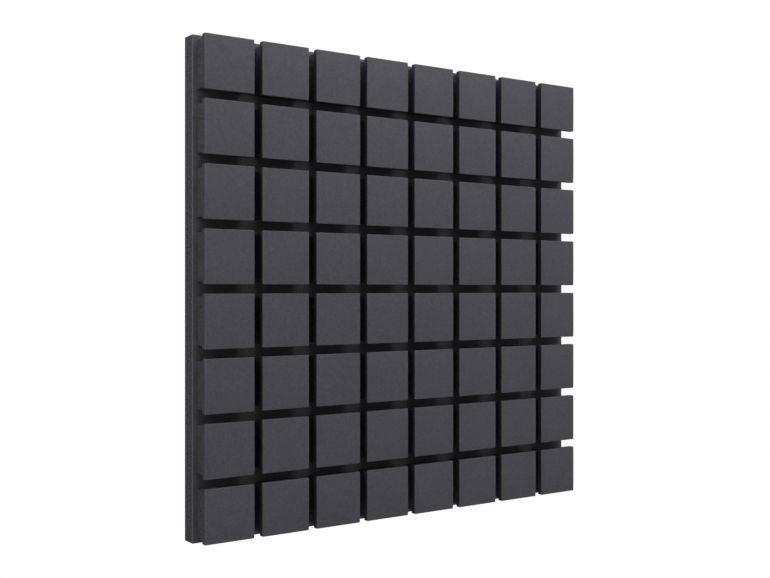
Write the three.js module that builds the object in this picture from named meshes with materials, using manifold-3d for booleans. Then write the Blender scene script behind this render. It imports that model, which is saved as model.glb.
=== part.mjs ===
// Acoustic foam panel: a square backing slab that carries a grid of overhanging square blocks.
// Millimetres, +Z up. The blocks face -Y, and the back of the slab lies in the plane y = 0.
// The origin is the middle of that back face.
//
// Each block is a head, a thin square plate with bevelled front edges, on a narrower neck.
// T-shaped grooves part the blocks both ways. A row of blocks is one foam bar, glued to the slab:
// its necks stay joined by a thin root web at the bottom of the upright grooves.

import * as THREE from "three";
import { mergeVertices } from "three/addons/utils/BufferGeometryUtils.js";
import Module from "manifold-3d";

const wasm = await Module();
wasm.setup();

// Driving dimensions
const panelWidth = 600;
const panelHeight = 600;
const slabThickness = 21;
const blockDepth = 28;
const edgeLedge = 3;
const grooveWidth = 11;
const headThickness = 7.5;
const headBevel = 0.8;
const neckInset = 3.2;
const webThickness = 2;

const columnCount = 8;
const rowCount = 8;

// How far a cutter reaches past what it cuts
const cutOverrun = 5;

// Sizes of a block and the grid
const headWidth = (panelWidth - 2 * edgeLedge - (columnCount - 1) * grooveWidth) / columnCount;
const headHeight = (panelHeight - 2 * edgeLedge - (rowCount - 1) * grooveWidth) / rowCount;
const columnPitch = headWidth + grooveWidth;
const rowPitch = headHeight + grooveWidth;
const rowLength = columnCount * columnPitch - grooveWidth;

// Depths along Y, from the wall to the room
const slabFront = -slabThickness;
const webFront = slabFront - webThickness;
const headFront = slabFront - blockDepth;
const bevelBack = headFront + headBevel;
const headBack = headFront + headThickness;

const blockGrey = 0x4f4e52;
const slabGrey = 0x454449;
const foamRoughness = 0.95;

// A closed three.js geometry as a solid that can be cut
function toSolid(geometry) {
  geometry.deleteAttribute("normal");
  geometry.deleteAttribute("uv");
  const merged = mergeVertices(geometry);
  const vertProperties = Float32Array.from(merged.attributes.position.array);
  const triVerts = Uint32Array.from(merged.index.array);
  return new wasm.Manifold(new wasm.Mesh({ numProp: 3, vertProperties, triVerts }));
}

// A solid as an indexed geometry
function toGeometry(solid) {
  const { vertProperties, triVerts } = solid.getMesh();
  const geometry = new THREE.BufferGeometry();
  geometry.setAttribute("position", new THREE.BufferAttribute(Float32Array.from(vertProperties), 3));
  geometry.setIndex(new THREE.BufferAttribute(Uint32Array.from(triVerts), 1));
  geometry.computeVertexNormals();
  return geometry;
}

// An outline drawn in X and Y, extruded to both sides of the plane z = 0
function extrudeOutline(outline, length) {
  const shape = new THREE.Shape(outline.map(([x, y]) => new THREE.Vector2(x, y)));
  const geometry = new THREE.ExtrudeGeometry(shape, { depth: length, bevelEnabled: false });
  return geometry.translate(0, 0, -length / 2);
}

// Closes one half of a symmetric outline: its points in reverse with the coordinate at index mirrored
function withMirror(half, index) {
  const mirrored = half.map((point) => point.map((value, i) => (i === index ? -value : value)));
  return [...half, ...mirrored.reverse()];
}

// One foam bar along X before its grooves are cut: bevelled head over a narrower neck, in Y and Z
function barSolid() {
  const headHalf = headHeight / 2;
  const neckHalf = headHalf - neckInset;
  const lowerHalf = [
    [slabFront, -neckHalf],
    [headBack, -neckHalf],
    [headBack, -headHalf],
    [bevelBack, -headHalf],
    [headFront, -headHalf + headBevel],
  ];
  const turnYZX = new THREE.Matrix4().makeBasis(
    new THREE.Vector3(0, 1, 0),
    new THREE.Vector3(0, 0, 1),
    new THREE.Vector3(1, 0, 0),
  );
  return toSolid(extrudeOutline(withMirror(lowerHalf, 1), rowLength).applyMatrix4(turnYZX));
}

// The cutter of one upright groove at x: a bevelled mouth between two heads, wide between their necks
function grooveSolid(x, bottom) {
  const mouthHalf = grooveWidth / 2;
  const wideHalf = mouthHalf + neckInset;
  const leftHalf = [
    [-wideHalf, bottom],
    [-wideHalf, headBack],
    [-mouthHalf, headBack],
    [-mouthHalf, bevelBack],
    [-mouthHalf - headBevel - cutOverrun, headFront - cutOverrun],
  ];
  return toSolid(extrudeOutline(withMirror(leftHalf, 0), headHeight + 2 * cutOverrun).translate(x, 0, 0));
}

// The bar with its inner grooves down to the web, and its two ends recessed all the way to the slab
function rowGeometry() {
  let row = barSolid();
  for (let i = 0; i <= columnCount; i += 1) {
    const atEnd = i === 0 || i === columnCount;
    const bottom = atEnd ? slabFront + cutOverrun : webFront;
    row = row.subtract(grooveSolid((i - columnCount / 2) * columnPitch, bottom));
  }
  return toGeometry(row);
}

function foamMesh(name, geometry, color) {
  const material = new THREE.MeshStandardMaterial({ color, roughness: foamRoughness, metalness: 0 });
  const mesh = new THREE.Mesh(geometry, material);
  mesh.name = name;
  return mesh;
}

const panel = new THREE.Group();

const slab = foamMesh(
  "backing_slab",
  new THREE.BoxGeometry(panelWidth, slabThickness, panelHeight),
  slabGrey,
);
slab.position.y = -slabThickness / 2;
panel.add(slab);

// Rows are counted from the top
for (let i = 0; i < rowCount; i += 1) {
  const row = foamMesh(`block_row_${i + 1}`, rowGeometry(), blockGrey);
  row.position.z = ((rowCount - 1) / 2 - i) * rowPitch;
  panel.add(row);
}

export default panel;
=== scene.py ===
import math

import bpy
import numpy as np
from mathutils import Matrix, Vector


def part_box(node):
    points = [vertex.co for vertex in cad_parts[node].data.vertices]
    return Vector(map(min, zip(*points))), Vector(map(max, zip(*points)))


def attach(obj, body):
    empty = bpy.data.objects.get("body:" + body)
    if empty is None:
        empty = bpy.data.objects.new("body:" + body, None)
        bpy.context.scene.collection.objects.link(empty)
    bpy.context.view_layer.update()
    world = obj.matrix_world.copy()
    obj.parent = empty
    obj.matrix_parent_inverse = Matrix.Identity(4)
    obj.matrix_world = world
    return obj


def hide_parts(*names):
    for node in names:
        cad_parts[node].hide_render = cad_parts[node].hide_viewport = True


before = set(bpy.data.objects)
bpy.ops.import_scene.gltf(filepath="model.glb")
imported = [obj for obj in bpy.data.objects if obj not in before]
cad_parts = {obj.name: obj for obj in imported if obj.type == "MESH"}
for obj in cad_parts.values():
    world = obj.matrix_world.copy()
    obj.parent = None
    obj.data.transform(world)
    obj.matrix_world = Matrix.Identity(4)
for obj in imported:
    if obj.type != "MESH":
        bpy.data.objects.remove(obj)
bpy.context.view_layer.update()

mm = 0.001
slabLow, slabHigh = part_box("backing_slab")
rowNames = sorted(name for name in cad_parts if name.startswith("block_row_"))
print("frame loaded:", len(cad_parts), "nodes")


# sRGB hex to linear: the low part is a straight line, the rest a power of 2.4
def linearColor(hexCode):
    channels = [int(hexCode[i:i + 2], 16) / 255 for i in (1, 3, 5)]
    return tuple(c / 12.92 if c <= 0.04045 else ((c + 0.055) / 1.055) ** 2.4 for c in channels)


# Adds a node, sets its properties and inputs, and links the inputs that are given as sockets.
# An input goes by its name, with _ for a space, or by its number, as i0.
def addNode(tree, kind, settings=None, **links):
    node = tree.nodes.new(kind)
    for name, value in (settings or {}).items():
        setattr(node, name, value)
    for name, value in links.items():
        numbered = name[0] == "i" and name[1:].isdigit()
        key = int(name[1:]) if numbered else name.replace("_", " ")
        if isinstance(value, bpy.types.NodeSocket):
            tree.links.new(value, node.inputs[key])
        else:
            node.inputs[key].default_value = value
    return node


# How the grain of every foam here is drawn
grainLook = {
    "rimFrom": 0.15, "rimTo": 0.75,       # where a pit turns into its rim, in cells from the cell's middle
    "rimLift": 0.6,                       # what a rim gains, as a share of what a pit loses
    "noiseLow": 0.3, "noiseHigh": 0.7,    # noise seldom leaves this range, which is given the whole contrast
    "clumpDetail": 2.0, "clumpRoughness": 0.6,
    "patchDetail": 1.0, "patchRoughness": 0.5,
    "ior": 1.5,                           # polyurethane
}


# Open-cell polyurethane foam, dyed through. Where a wire has cut it, half-open cells show as dark pits with
# lighter rims, so the eye sees a fine dry grain and no gloss. Cells are about 0.9 mm, which is under a pixel
# here, so clumps of a few cells are drawn as well to let the grain show. Patches of 60 mm are the dye's.
# tone = pits and rims * clumps * patches, and relief = rims + clumps.
def makeFoam(name, look):
    material = bpy.data.materials.new(name)
    material.use_nodes = True
    tree = material.node_tree
    tree.nodes.clear()
    place = addNode(tree, "ShaderNodeTexCoord").outputs["Object"]

    cells = addNode(tree, "ShaderNodeTexVoronoi", {"feature": "F1"},
                    Vector=place, Scale=1 / look["cellSize"])
    clumps = addNode(tree, "ShaderNodeTexNoise", {"noise_dimensions": "3D"},
                     Vector=place, Scale=1 / look["clumpSize"],
                     Detail=grainLook["clumpDetail"], Roughness=grainLook["clumpRoughness"])
    patches = addNode(tree, "ShaderNodeTexNoise", {"noise_dimensions": "3D"},
                      Vector=place, Scale=1 / look["patchSize"],
                      Detail=grainLook["patchDetail"], Roughness=grainLook["patchRoughness"])

    rims = addNode(tree, "ShaderNodeMapRange", {"interpolation_type": "SMOOTHSTEP"},
                   Value=cells.outputs["Distance"],
                   From_Min=grainLook["rimFrom"], From_Max=grainLook["rimTo"])
    rimTone = addNode(tree, "ShaderNodeMapRange", Value=rims.outputs["Result"],
                      To_Min=1 - look["pitContrast"],
                      To_Max=1 + look["pitContrast"] * grainLook["rimLift"])
    clumpTone = addNode(tree, "ShaderNodeMapRange", Value=clumps.outputs["Fac"],
                        From_Min=grainLook["noiseLow"], From_Max=grainLook["noiseHigh"],
                        To_Min=1 - look["clumpContrast"], To_Max=1 + look["clumpContrast"])
    patchTone = addNode(tree, "ShaderNodeMapRange", Value=patches.outputs["Fac"],
                        From_Min=grainLook["noiseLow"], From_Max=grainLook["noiseHigh"],
                        To_Min=1 - look["patchContrast"], To_Max=1 + look["patchContrast"])
    fine = addNode(tree, "ShaderNodeMath", {"operation": "MULTIPLY"},
                   i0=rimTone.outputs["Result"], i1=clumpTone.outputs["Result"])
    tone = addNode(tree, "ShaderNodeMath", {"operation": "MULTIPLY"},
                   i0=fine.outputs[0], i1=patchTone.outputs["Result"])
    color = addNode(tree, "ShaderNodeVectorMath", {"operation": "SCALE"},
                    i0=linearColor(look["color"]), Scale=tone.outputs[0])

    relief = addNode(tree, "ShaderNodeMath", {"operation": "MULTIPLY_ADD"},
                     i0=clumps.outputs["Fac"], i1=look["clumpRelief"], i2=rims.outputs["Result"])
    bump = addNode(tree, "ShaderNodeBump", Height=relief.outputs[0],
                   Strength=look["bumpStrength"], Distance=look["pitDepth"])

    # A pillow as bump alone, under the grain's: height = pillow * (1 - v^2), v from -1 at a block's foot to 1
    # at its top. It leans the light from top to foot, and leaves the face's edges straight.
    if "pillow" in look:
        up = addNode(tree, "ShaderNodeAttribute", {"attribute_name": "upTheFace"}).outputs["Fac"]
        fall = addNode(tree, "ShaderNodeMath", {"operation": "MULTIPLY"}, i0=up, i1=up)
        sunk = addNode(tree, "ShaderNodeMath", {"operation": "SUBTRACT"}, i0=1.0, i1=fall.outputs[0])
        pillow = addNode(tree, "ShaderNodeBump", Height=sunk.outputs[0], Strength=1.0,
                         Distance=look["pillow"])
        tree.links.new(pillow.outputs["Normal"], bump.inputs["Normal"])

    shader = addNode(tree, "ShaderNodeBsdfPrincipled", Base_Color=color.outputs[0],
                     Normal=bump.outputs["Normal"], Roughness=look["roughness"], IOR=grainLook["ior"],
                     Specular_IOR_Level=look["specular"])
    addNode(tree, "ShaderNodeOutputMaterial", Surface=shader.outputs["BSDF"])
    return material


# The blocks' fine-cut faces: closed and even, with a dry sheen at most
faceFoamLook = {
    "color": "#515057", "pillow": 1.0 * mm,
    "cellSize": 0.9 * mm, "pitContrast": 0.14, "pitDepth": 0.3 * mm, "bumpStrength": 0.45,
    "clumpSize": 3.2 * mm, "clumpContrast": 0.11, "clumpRelief": 1.0,
    "patchSize": 60 * mm, "patchContrast": 0.03,
    "roughness": 0.95, "specular": 0.25,
}
# Wire-cut walls show open cells, so they are more speckled than the faces. Their darker colour is partly
# those cells and partly painted shade for the lower light on the heads' sides and in the grooves.
wallFoamLook = {
    "color": "#302f34",
    "cellSize": 1.1 * mm, "pitContrast": 0.3, "pitDepth": 0.5 * mm, "bumpStrength": 0.6,
    "clumpSize": 2.4 * mm, "clumpContrast": 0.42, "clumpRelief": 1.6,
    "patchSize": 60 * mm, "patchContrast": 0.03,
    "roughness": 0.97, "specular": 0.15,
}
# The slab's sides are cut by the same wire, and are the most speckled of all. Their dark colour is partly the
# open cells and partly painted shade for the lower light on the sides.
slabEdgeLook = {
    **wallFoamLook,
    "color": "#302e34", "pitContrast": 0.5, "clumpContrast": 0.88,
}
# The slab's big faces, split from the bun: a shade paler than the blocks, and fine like them
slabFaceLook = {
    "color": "#535256",
    "cellSize": 0.9 * mm, "pitContrast": 0.14, "pitDepth": 0.35 * mm, "bumpStrength": 0.45,
    "clumpSize": 3.2 * mm, "clumpContrast": 0.12, "clumpRelief": 1.0,
    "patchSize": 60 * mm, "patchContrast": 0.05,
    "roughness": 0.96, "specular": 0.2,
}
faceFoam = makeFoam("blockFoamSmoothCut", faceFoamLook)
wallFoam = makeFoam("blockFoamOpenCutPaintedShade", wallFoamLook)
slabFaceFoam = makeFoam("slabFoamSplit", slabFaceLook)
slabEdgeFoam = makeFoam("slabFoamOpenCutPaintedShade", slabEdgeLook)
print("foam materials made")


# A path once round a square: corners are arcs, sides are straight. Each point has a place on the unit
# square's border and an outward direction, so a ring of any size and corner radius is one sum.
def squarePath(look):
    cornerSteps, sideSteps = look["cornerSteps"], look["sideSteps"]
    places, directions = [], []
    corners = np.array([[1, 1], [-1, 1], [-1, -1], [1, -1]], float)
    for k in range(4):
        here, after = corners[k], corners[(k + 1) % 4]
        angles = math.pi / 2 * (k + np.linspace(0, 1, cornerSteps + 1))
        arc = np.stack([np.cos(angles), np.sin(angles)], axis=1)
        share = np.linspace(0, 1, sideSteps + 1)[1:-1, None]
        places.append(np.repeat(here[None], cornerSteps + 1, axis=0))
        places.append(here * (1 - share) + after * share)
        directions.append(arc)
        directions.append(np.repeat(arc[-1:], sideSteps - 1, axis=0))
    return np.concatenate(places), np.concatenate(directions)


# Rings of the path, one for each step of a profile of (half width, half height, corner radius, depth along
# Y): point = place * (half size - radius) + direction * radius, at the ring's depth.
def sweepProfile(path, profile, centre):
    places, directions = path
    halfWide, halfHigh, radius, depth = (np.array(column)[:, None] for column in zip(*profile))
    x = centre[0] + places[:, 0] * (halfWide - radius) + directions[:, 0] * radius
    z = centre[1] + places[:, 1] * (halfHigh - radius) + directions[:, 1] * radius
    return np.stack([x, np.broadcast_to(depth, x.shape), z], axis=2)


driftLook = {
    "amount": 0.12 * mm,
    "waves": 3,                           # for each direction
    "shortest": 12, "longest": 30,        # mm along the wave for one radian, so waves are 8 to 20 cm long
    "fade": 12 * mm,
    "seedsPerRow": 100,
}


# The hand of a foam cutter. Every point drifts by a sum of smooth waves, and not at all at the slab, where
# the pieces meet: shift = fade * amount / waves * sin(wave vector * point + start), for X, Y and Z in turn.
def foamDrift(points, slabFront, seed):
    look = driftLook
    random = np.random.default_rng(seed)
    moved = points.copy()
    fade = np.clip((slabFront - points[..., 1]) / look["fade"], 0, 1)
    for axis in range(3):
        for _ in range(look["waves"]):
            waves = random.uniform(-1, 1, 3) / (random.uniform(look["shortest"], look["longest"]) * mm)
            phase = points @ waves + random.uniform(0, 2 * math.pi)
            moved[..., axis] += fade * look["amount"] / look["waves"] * np.sin(phase)
    return moved


sharpAngle = math.radians(50)    # edges that turn by more than this aren't shaded smooth


# A closed skin from rings: quads between neighbouring rings, and a fan of triangles to a point at each end.
# The rings run from the front to the back and turn left about, so this order of corners faces outwards.
# ringMaterial says which of the materials goes on the quads behind each ring.
def skinRings(name, rings, materials, ringMaterial):
    ringCount, around = rings.shape[:2]
    ends = np.stack([rings[0].mean(axis=0), rings[-1].mean(axis=0)])
    points = np.concatenate([rings.reshape(-1, 3), ends])
    here = np.arange(around)
    after = (here + 1) % around
    start = (np.arange(ringCount - 1) * around)[:, None]
    quads = np.stack([start + here, start + around + here, start + around + after, start + after], axis=2)
    frontEnd, backEnd = ringCount * around, ringCount * around + 1
    base = (ringCount - 1) * around
    frontFan = np.stack([np.full(around, frontEnd), here, after], axis=1)
    backFan = np.stack([np.full(around, backEnd), base + after, base + here], axis=1)
    faces = quads.reshape(-1, 4).tolist() + frontFan.tolist() + backFan.tolist()
    mesh = bpy.data.meshes.new(name)
    mesh.from_pydata(points.tolist(), [], faces)
    for material in materials:
        mesh.materials.append(material)
    slots = np.repeat(np.array(ringMaterial[:ringCount - 1]), around)
    slots = np.concatenate([slots, np.full(around, ringMaterial[0]), np.full(around, ringMaterial[-1])])
    mesh.polygons.foreach_set("material_index", slots.astype(np.int32))
    mesh.polygons.foreach_set("use_smooth", np.ones(len(mesh.polygons), bool))
    mesh.set_sharp_from_angle(angle=sharpAngle)
    mesh.update()
    piece = bpy.data.objects.new(name, mesh)
    bpy.context.scene.collection.objects.link(piece)
    return piece


# A quarter turn from a flat face to a side, as pairs of inset and depth:
# inset = radius * (1 - sin(angle)), depth = radius * (1 - cos(angle))
def quarterRound(radius, steps):
    angles = np.linspace(0, math.pi / 2, steps + 1)
    return list(zip(radius * (1 - np.sin(angles)), radius * (1 - np.cos(angles))))


# Shares of a flat face's half width, from near its middle to its border. The last ring but one lies close to
# the border, so that the rounded edge doesn't bend the light on the flat.
def flatShares(half, count, hold):
    return list(np.linspace(0, 1, count + 1)[1:-1]) + [1 - hold / half, 1]


innerCorner = 0.5    # a ring inside a flat has this share of its border's corner radius
closingShare = 0.5   # the last ring before an end's middle point has this share of the half size

blockLook = {
    "columns": 8,
    "headThickness": 7.5 * mm,
    "neckInset": 3.2 * mm,
    "frontRadius": 0.7 * mm, "frontSteps": 4,
    "backRadius": 0.5 * mm, "backSteps": 2,
    "cornerRadius": 1.2 * mm,
    "crown": 0.25 * mm,
    "faceRings": 8, "faceHold": 0.5 * mm,
    "sideHold": 1.6,                      # radii from a rounded edge to the ring that keeps the side flat
    "neckRings": 5,
    "cornerSteps": 4, "sideSteps": 10,
}


# Foam eases out once it is cut, so a face bulges very slightly from top to foot:
# depth = depth + fade * crown * v^2, where v goes from -1 to 1 up the face, and fade falls from 1 at the face
# to 0 at the back of the head.
def crownFace(rings, middle, half, headFront):
    look = blockLook
    v = (rings[..., 2] - middle) / half
    fade = np.clip(1 - (rings[..., 1] - headFront) / look["headThickness"], 0, 1)
    crowned = rings.copy()
    crowned[..., 1] += fade * look["crown"] * v ** 2
    return crowned


# One block, from the middle of its face round the head's edge and back along the neck to the slab
def blockProfile(half, headFront, slabFront):
    look = blockLook
    corner, front, back = look["cornerRadius"], look["frontRadius"], look["backRadius"]
    headBack = headFront + look["headThickness"]
    neckHalf = half - look["neckInset"]
    steps = []
    for share in flatShares(half, look["faceRings"], look["faceHold"]):
        flat = (half - front) * share
        steps.append((flat, flat, corner * share * innerCorner, headFront))
    for inset, depth in quarterRound(front, look["frontSteps"])[1:]:
        steps.append((half - inset, half - inset, corner, headFront + depth))
    steps.append((half, half, corner, headFront + front * look["sideHold"]))
    steps.append((half, half, corner, headBack - back * look["sideHold"]))
    for inset, depth in quarterRound(back, look["backSteps"])[::-1]:
        steps.append((half - inset, half - inset, corner, headBack - depth))
    steps.append((neckHalf + back, neckHalf + back, corner, headBack))
    steps.append((neckHalf, neckHalf, corner, headBack + back))
    for share in np.linspace(0, 1, look["neckRings"] + 1)[1:]:
        steps.append((neckHalf, neckHalf, corner, headBack + back + (slabFront - headBack - back) * share))
    steps.append((neckHalf * closingShare, neckHalf * closingShare, corner * innerCorner, slabFront))
    return steps


# Each point's height on its block, -1 at the foot and 1 at the top, for the pillow of the face's foam.
# The two end points come last, at the middle.
def markHeight(block, rings, middle, half):
    up = ((rings[..., 2] - middle) / half).ravel()
    heights = np.concatenate([up, [0, 0]])
    attribute = block.data.attributes.new("upTheFace", "FLOAT", "POINT")
    attribute.data.foreach_set("value", heights.astype(np.float32))


# Eight blocks to a row, each the profile swept round a square. The face's foam goes halfway round its edge.
def buildBlocks():
    look = blockLook
    path = squarePath(look)
    slabFront = slabLow[1]
    faceSteps = look["faceRings"] + 1 + look["frontSteps"] // 2
    for rowIndex, rowName in enumerate(rowNames):
        low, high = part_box(rowName)
        size = high[2] - low[2]
        half = size / 2
        groove = (high[0] - low[0] - look["columns"] * size) / (look["columns"] - 1)
        middle = (low[2] + high[2]) / 2
        profile = blockProfile(half, low[1], slabFront)
        # Past the face's foam, the head's sides and the neck take the wall foam, whose darker colour is
        # partly painted shade
        ringMaterial = [0] * faceSteps + [1] * (len(profile) - faceSteps)
        for column in range(look["columns"]):
            across = low[0] + half + column * (size + groove)
            rings = sweepProfile(path, profile, (across, middle))
            rings = crownFace(rings, middle, half, low[1])
            rings = foamDrift(rings, slabFront, driftLook["seedsPerRow"] * rowIndex + column)
            block = skinRings(f"block_{rowIndex + 1}_{column + 1}", rings, [faceFoam, wallFoam], ringMaterial)
            markHeight(block, rings, middle, half)
            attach(block, "root")
            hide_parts(rowName)
        print("row", rowIndex + 1, "has its blocks")


rootLook = {
    "thickness": 2 * mm,
    "edge": 0.3 * mm,
    "endGap": 1 * mm,                     # from the root's end to the outer neck's side
    "sideGap": 0.2 * mm,                  # from the root's side to the necks' sides
    "cornerSteps": 2, "sideSteps": 16,
}


# The thin web that joins a row's necks at the slab, a strip nearly as high as the necks
def buildRoots():
    look = rootLook
    path = squarePath(look)
    front, edge = slabLow[1] - look["thickness"], look["edge"]
    for rowIndex, rowName in enumerate(rowNames):
        low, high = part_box(rowName)
        halfWide = (high[0] - low[0]) / 2 - blockLook["neckInset"] - look["endGap"]
        halfHigh = (high[2] - low[2]) / 2 - blockLook["neckInset"] - look["sideGap"]
        profile = [(halfWide * closingShare, halfHigh * closingShare, edge, front),
                   (halfWide - edge, halfHigh - edge, edge, front),
                   (halfWide, halfHigh, edge, front + edge),
                   (halfWide, halfHigh, edge, slabLow[1]),
                   (halfWide * closingShare, halfHigh * closingShare, edge, slabLow[1])]
        rings = sweepProfile(path, profile, ((low[0] + high[0]) / 2, (low[2] + high[2]) / 2))
        root = skinRings(f"row_root_{rowIndex + 1}", rings, [slabFaceFoam], [0] * len(profile))
        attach(root, "root")
        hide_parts(rowName)


slabLook = {
    "frontRadius": 1.2 * mm, "frontSteps": 4,
    "backRadius": 0.8 * mm, "backSteps": 3,
    "cornerRadius": 1.2 * mm,
    "frontHold": 6 * mm, "backHold": 0.5 * mm,    # the front's light eases into its edge, the back's doesn't
    "faceRings": 10,
    "backRings": 6,
    "sideShares": (0.12, 0.5, 0.88),      # where the side's rings lie between the front and the back
    "cornerSteps": 4, "sideSteps": 40,
}


# The backing slab: a flat front, a softly broken front edge, straight sides and a flat back. The front's foam
# goes halfway round its edge, and the back's stops at its border.
def buildSlab():
    look = slabLook
    halfWide = (slabHigh[0] - slabLow[0]) / 2
    halfHigh = (slabHigh[2] - slabLow[2]) / 2
    centre = ((slabHigh[0] + slabLow[0]) / 2, (slabHigh[2] + slabLow[2]) / 2)
    front, back, corner = slabLow[1], slabHigh[1], look["cornerRadius"]
    profile = []
    for share in flatShares(halfWide, look["faceRings"], look["frontHold"]):
        wide, high = (halfWide - look["frontRadius"]) * share, (halfHigh - look["frontRadius"]) * share
        profile.append((wide, high, corner * share * innerCorner, front))
    for inset, depth in quarterRound(look["frontRadius"], look["frontSteps"])[1:]:
        profile.append((halfWide - inset, halfHigh - inset, corner, front + depth))
    for share in look["sideShares"]:
        profile.append((halfWide, halfHigh, corner, front + (back - front) * share))
    for inset, depth in quarterRound(look["backRadius"], look["backSteps"])[::-1]:
        profile.append((halfWide - inset, halfHigh - inset, corner, back - depth))
    for share in flatShares(halfWide, look["backRings"], look["backHold"])[-2::-1]:
        wide, high = (halfWide - look["backRadius"]) * share, (halfHigh - look["backRadius"]) * share
        profile.append((wide, high, corner * share * innerCorner, back))
    rings = sweepProfile(squarePath(look), profile, centre)
    frontCount = look["faceRings"] + 1 + look["frontSteps"] // 2
    backCount = look["backRings"] + 1
    edgeCount = len(profile) - frontCount - backCount
    # The sides take the slab's edge foam, whose darker colour is partly painted shade
    ringMaterial = [0] * frontCount + [1] * edgeCount + [0] * backCount
    slab = skinRings("slab", rings, [slabFaceFoam, slabEdgeFoam], ringMaterial)
    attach(slab, "root")
    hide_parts("backing_slab")


buildSlab()
print("slab made")
buildRoots()
print("row roots made")
buildBlocks()
print("foam pieces made")


studio = {
    "floorDrop": 1.9,
    "floorSize": 40,
    "floorColor": "#ededed",
    "shadowReach": 1.6,                   # the floor is plain white to the camera from here on
    "shadowCore": 0.4,                    # and plain paper up to this share of it
    "ambient": 0.33,
    "background": "#ffffff",
}
# Softboxes, all turned to the panel's middle: place in metres, width and height in metres, power in watts
panelMiddle = (0, -0.025, 0)
lamps = {
    "wideSoftbox": {"place": (0.0, -1.8, 1.35), "size": (2.0, 0.5), "power": 14.3},
    "nearTopSoftbox": {"place": (-0.15, -0.25, 0.6), "size": (0.6, 0.1), "power": 0.62},
    "overheadSoftbox": {"place": (0.0, -0.03, 0.55), "size": (1.2, 0.06), "power": 1.13},
    "topRightSoftbox": {"place": (0.8, -0.3, 1.1), "size": (0.8, 0.4), "power": 8.6},
    "topLeftSoftbox": {"place": (-1.3, -0.25, 0.9), "size": (0.4, 0.8), "power": 7.7},
    "leftSoftbox": {"place": (-1.7, -0.13, 0.1), "size": (0.4, 1.6), "power": 4.0},
    "leftBehindSoftbox": {"place": (-1.7, 0.12, 0.1), "size": (0.4, 1.6), "power": 9.2},
    "rightSoftbox": {"place": (1.7, -0.05, 0.1), "size": (0.4, 1.6), "power": 13.3},
    "backSoftbox": {"place": (0, 1.8, 0.9), "size": (1.3, 1.0), "power": 28},
}


# A pale paper floor well under the panel. It is matt, and takes the panel's shadow. To the camera it fades to
# plain white, smoothly from the shadow's core to its reach.
def buildFloor():
    half, down = studio["floorSize"] / 2, -studio["floorDrop"]
    corners = [(-half, -half, down), (half, -half, down), (half, half, down), (-half, half, down)]
    mesh = bpy.data.meshes.new("floor")
    mesh.from_pydata(corners, [], [(0, 1, 2, 3)])
    floor = bpy.data.objects.new("floor", mesh)
    bpy.context.scene.collection.objects.link(floor)
    material = bpy.data.materials.new("floorPaper")
    material.use_nodes = True
    tree = material.node_tree
    tree.nodes.clear()
    place = addNode(tree, "ShaderNodeTexCoord").outputs["Object"]
    reach = addNode(tree, "ShaderNodeVectorMath", {"operation": "DISTANCE"}, i0=place, i1=(0, 0, down))
    away = addNode(tree, "ShaderNodeMapRange", {"interpolation_type": "SMOOTHSTEP"},
                   Value=reach.outputs["Value"],
                   From_Min=studio["shadowReach"] * studio["shadowCore"], From_Max=studio["shadowReach"])
    seen = addNode(tree, "ShaderNodeLightPath").outputs["Is Camera Ray"]
    white = addNode(tree, "ShaderNodeMath", {"operation": "MULTIPLY"}, i0=away.outputs["Result"], i1=seen)
    paper = addNode(tree, "ShaderNodeBsdfDiffuse", Color=(*linearColor(studio["floorColor"]), 1))
    glow = addNode(tree, "ShaderNodeEmission", Color=(*linearColor(studio["background"]), 1), Strength=1.0)
    mix = addNode(tree, "ShaderNodeMixShader", Fac=white.outputs[0],
                  i1=paper.outputs[0], i2=glow.outputs[0])
    addNode(tree, "ShaderNodeOutputMaterial", Surface=mix.outputs[0])
    mesh.materials.append(material)


# The air round the object: plain white where the camera looks at it, a soft even light on everything else
def buildWorld():
    world = bpy.data.worlds.new("studioAir")
    bpy.context.scene.world = world
    world.use_nodes = True
    tree = world.node_tree
    tree.nodes.clear()
    seen = addNode(tree, "ShaderNodeLightPath").outputs["Is Camera Ray"]
    strength = addNode(tree, "ShaderNodeMapRange", Value=seen, To_Min=studio["ambient"], To_Max=1.0)
    air = addNode(tree, "ShaderNodeBackground", Color=(*linearColor(studio["background"]), 1),
                  Strength=strength.outputs["Result"])
    addNode(tree, "ShaderNodeOutputWorld", Surface=air.outputs[0])


# A softbox that shines on the panel and that the camera doesn't see
def addAreaLight(name, place, size, power):
    lamp = bpy.data.lights.new(name, "AREA")
    lamp.shape = "RECTANGLE"
    lamp.size, lamp.size_y = size
    lamp.energy = power
    light = bpy.data.objects.new(name, lamp)
    light.location = place
    away = Vector(place) - Vector(panelMiddle)
    light.rotation_euler = away.to_track_quat("Z", "Y").to_euler()
    light.visible_camera = False
    bpy.context.scene.collection.objects.link(light)


# The camera stands level with the panel's middle, to its left, and looks 35 degrees to the right
camera = {
    "lens": 50, "frameWidth": 36,         # mm
    "tilt": 90,                          # degrees up from straight down, so it looks level
    "turn": 35.02,                        # degrees to the right of straight ahead
    "place": (-0.836, -1.181, 0.0),
}


def addCamera():
    data = bpy.data.cameras.new("camera")
    data.lens = camera["lens"]
    data.sensor_width = camera["frameWidth"]
    eye = bpy.data.objects.new("camera", data)
    eye.location = camera["place"]
    eye.rotation_euler = (math.radians(camera["tilt"]), 0, -math.radians(camera["turn"]))
    bpy.context.scene.collection.objects.link(eye)
    bpy.context.scene.camera = eye


buildFloor()
buildWorld()
for lampName, lamp in lamps.items():
    addAreaLight(lampName, lamp["place"], lamp["size"], lamp["power"])
addCamera()
bpy.context.scene.view_settings.view_transform = "Standard"
print("studio made")
